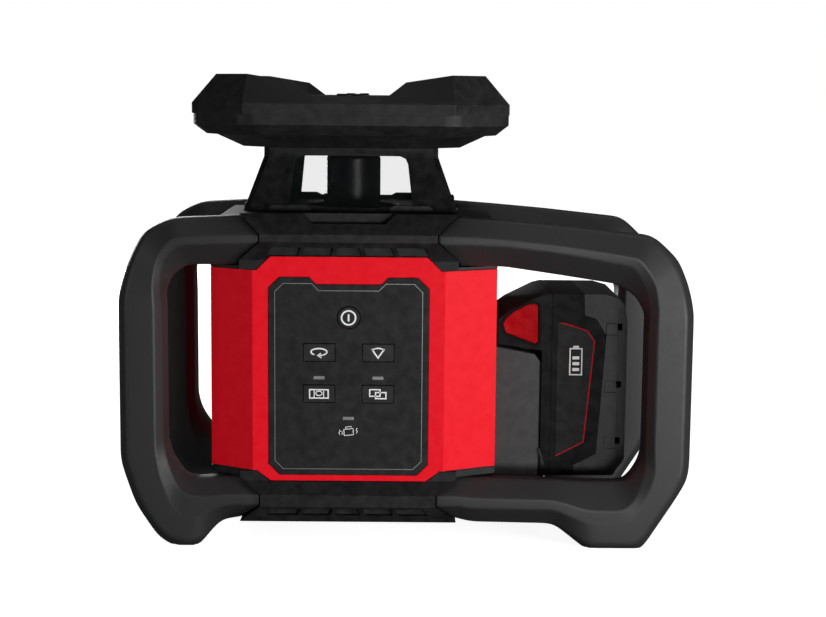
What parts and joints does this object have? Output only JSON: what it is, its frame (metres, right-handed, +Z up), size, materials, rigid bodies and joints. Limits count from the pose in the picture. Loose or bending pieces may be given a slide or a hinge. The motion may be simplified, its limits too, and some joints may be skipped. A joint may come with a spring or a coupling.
{
  "type": "rotating laser level",
  "caption": "Self-levelling rotary laser in a roll-cage housing: spinning beam head under a capped glass tower, keypad front, slide-in battery and a survey tripod thread.",
  "frame": {"origin": "mouth of the tripod thread in the base's underside, on the rotor's axis; the feet are 16 mm below", "axes": "+Z up along the rotor's axis, +X towards the battery, the control panel faces -Y"},
  "size_m": [0.3543, 0.196, 0.291],
  "materials": {
    "black_plastic": "fine grained moulded",
    "cap_plastic": "fine grained moulded",
    "gloss_black": "polished moulded",
    "grip_rubber": "soft matte overmould",
    "red_plastic": "satin moulded",
    "panel_film": "fine textured film",
    "key_plastic": "smooth matte",
    "seal_rubber": "matte",
    "clear_glass": "polished",
    "lens_glass": "coated",
    "indicator_plastic": "diffuse translucent",
    "steel": "machined",
    "aluminium": "anodised",
    "brass": "machined",
    "circuit_board": "solder mask",
    "white_plastic": "moulded acetal",
    "dock_grey": "fine grained moulded",
    "pack_black": "fine grained moulded",
    "pack_grey": "fine grained moulded",
    "latch_red": "satin moulded",
    "label_film": "printed film",
    "cell_wrap": "heat-shrink film",
    "motor_steel": "plated"
  },
  "bodies": {
    "housing": {"base_housing": "black_plastic", "base_screws": "steel", "tripod_plate": "aluminium", "chassis": "aluminium", "top_deck": "black_plastic", "front_shell": "red_plastic", "rear_shell": "red_plastic", "shell_seals": "seal_rubber", "handle_front_left": "grip_rubber", "handle_front_right": "grip_rubber", "handle_rear_left": "grip_rubber", "handle_rear_right": "grip_rubber", "handle_screws": "steel", "control_panel": "panel_film", "rear_panel": "panel_film", "indicator_lenses": "indicator_plastic", "keypad_membrane": "seal_rubber", "keypad_board": "circuit_board", "main_board": "circuit_board", "buzzer": "key_plastic", "lighthouse_frame": "gloss_black", "window_glass": "clear_glass", "tower_screws": "steel", "cap_lower": "cap_plastic", "cap_upper": "cap_plastic", "cap_screws": "steel", "levelling_motors": "motor_steel", "battery_dock": "dock_grey", "terminal_block": "key_plastic", "terminal_blades": "brass"},
    "gimbal_ring": {"gimbal_ring": "aluminium", "ring_pins": "steel"},
    "laser_barrel": {"laser_barrel": "aluminium", "barrel_pins": "steel", "laser_diode": "brass", "collimator_lens": "lens_glass", "spindle_motor": "motor_steel", "rotor_bearings": "steel"},
    "rotor": {"rotor_spindle": "steel", "drive_gear": "white_plastic", "rotor_head": "gloss_black", "rotor_window": "lens_glass", "rotor_prism": "lens_glass"},
    "motor_pinion": {"motor_pinion": "brass"},
    "pitch_screw": {"pitch_screw": "steel"},
    "roll_screw": {"roll_screw": "steel"},
    "pitch_nut": {"pitch_nut": "white_plastic"},
    "roll_nut": {"roll_nut": "white_plastic"},
    "power_button": {"power_button": "key_plastic"},
    "rotation_button": {"rotation_button": "key_plastic"},
    "scan_button": {"scan_button": "key_plastic"},
    "level_button": {"level_button": "key_plastic"},
    "mask_button": {"mask_button": "key_plastic"},
    "battery": {"battery_case": "pack_black", "battery_cover": "pack_grey", "battery_cells": "cell_wrap", "battery_board": "circuit_board", "battery_labels": "label_film"},
    "battery_latch_front": {"battery_latch_front": "latch_red"},
    "battery_latch_rear": {"battery_latch_rear": "latch_red"}
  },
  "joints": [
    {"name": "gimbal_pitch", "type": "hinge", "parent": "housing", "child": "gimbal_ring", "pos_m": [0, 0, 0.12], "axis": [1, 0, 0], "range_deg": [-5, 5]},
    {"name": "gimbal_roll", "type": "hinge", "parent": "gimbal_ring", "child": "laser_barrel", "pos_m": [0, 0, 0.12], "axis": [0, 1, 0], "range_deg": [-5, 5]},
    {"name": "rotor_spin", "type": "hinge", "parent": "laser_barrel", "child": "rotor", "pos_m": [0, 0, 0.2], "axis": [0, 0, 1], "continuous": true},
    {"name": "pinion_spin", "type": "hinge", "parent": "laser_barrel", "child": "motor_pinion", "pos_m": [0, -0.024, 0.176], "axis": [0, 0, 1], "continuous": true},
    {"name": "pitch_screw_turn", "type": "hinge", "parent": "housing", "child": "pitch_screw", "pos_m": [0, 0.058, 0.1], "axis": [0, 0, 1], "range_deg": [-755, 755]},
    {"name": "roll_screw_turn", "type": "hinge", "parent": "housing", "child": "roll_screw", "pos_m": [-0.059, 0, 0.1], "axis": [0, 0, 1], "range_deg": [-755, 755]},
    {"name": "pitch_nut_slide", "type": "slide", "parent": "housing", "child": "pitch_nut", "axis": [0, 0, 1], "range_m": [-0.0043, 0.0043]},
    {"name": "roll_nut_slide", "type": "slide", "parent": "housing", "child": "roll_nut", "axis": [0, 0, 1], "range_m": [-0.0043, 0.0043]},
    {"name": "battery_slide", "type": "slide", "parent": "housing", "child": "battery", "axis": [0, 0, 1], "range_m": [0, 0.09]},
    {"name": "power_press", "type": "slide", "parent": "housing", "child": "power_button", "axis": [0, 1, 0], "range_m": [0, 0.0006], "stiffness_N_per_m": 400, "springref_m": -0.0005},
    {"name": "rotation_press", "type": "slide", "parent": "housing", "child": "rotation_button", "axis": [0, 1, 0], "range_m": [0, 0.0006], "stiffness_N_per_m": 400, "springref_m": -0.0005},
    {"name": "scan_press", "type": "slide", "parent": "housing", "child": "scan_button", "axis": [0, 1, 0], "range_m": [0, 0.0006], "stiffness_N_per_m": 400, "springref_m": -0.0005},
    {"name": "level_press", "type": "slide", "parent": "housing", "child": "level_button", "axis": [0, 1, 0], "range_m": [0, 0.0006], "stiffness_N_per_m": 400, "springref_m": -0.0005},
    {"name": "mask_press", "type": "slide", "parent": "housing", "child": "mask_button", "axis": [0, 1, 0], "range_m": [0, 0.0006], "stiffness_N_per_m": 400, "springref_m": -0.0005},
    {"name": "latch_front_press", "type": "slide", "parent": "battery", "child": "battery_latch_front", "axis": [0, 1, 0], "range_m": [0, 0.0025], "stiffness_N_per_m": 1500, "springref_m": -0.001},
    {"name": "latch_rear_press", "type": "slide", "parent": "battery", "child": "battery_latch_rear", "axis": [0, -1, 0], "range_m": [0, 0.0025], "stiffness_N_per_m": 1500, "springref_m": -0.001}
  ],
  "couplings": [
    {"joint": "pinion_spin", "follows": "rotor_spin", "ratio": -4},
    {"joint": "pitch_nut_slide", "follows": "gimbal_pitch", "m_per_rad": 0.048},
    {"joint": "roll_nut_slide", "follows": "gimbal_roll", "m_per_rad": 0.048},
    {"joint": "pitch_screw_turn", "follows": "gimbal_pitch", "ratio": 150.8},
    {"joint": "roll_screw_turn", "follows": "gimbal_roll", "ratio": 150.8}
  ]
}
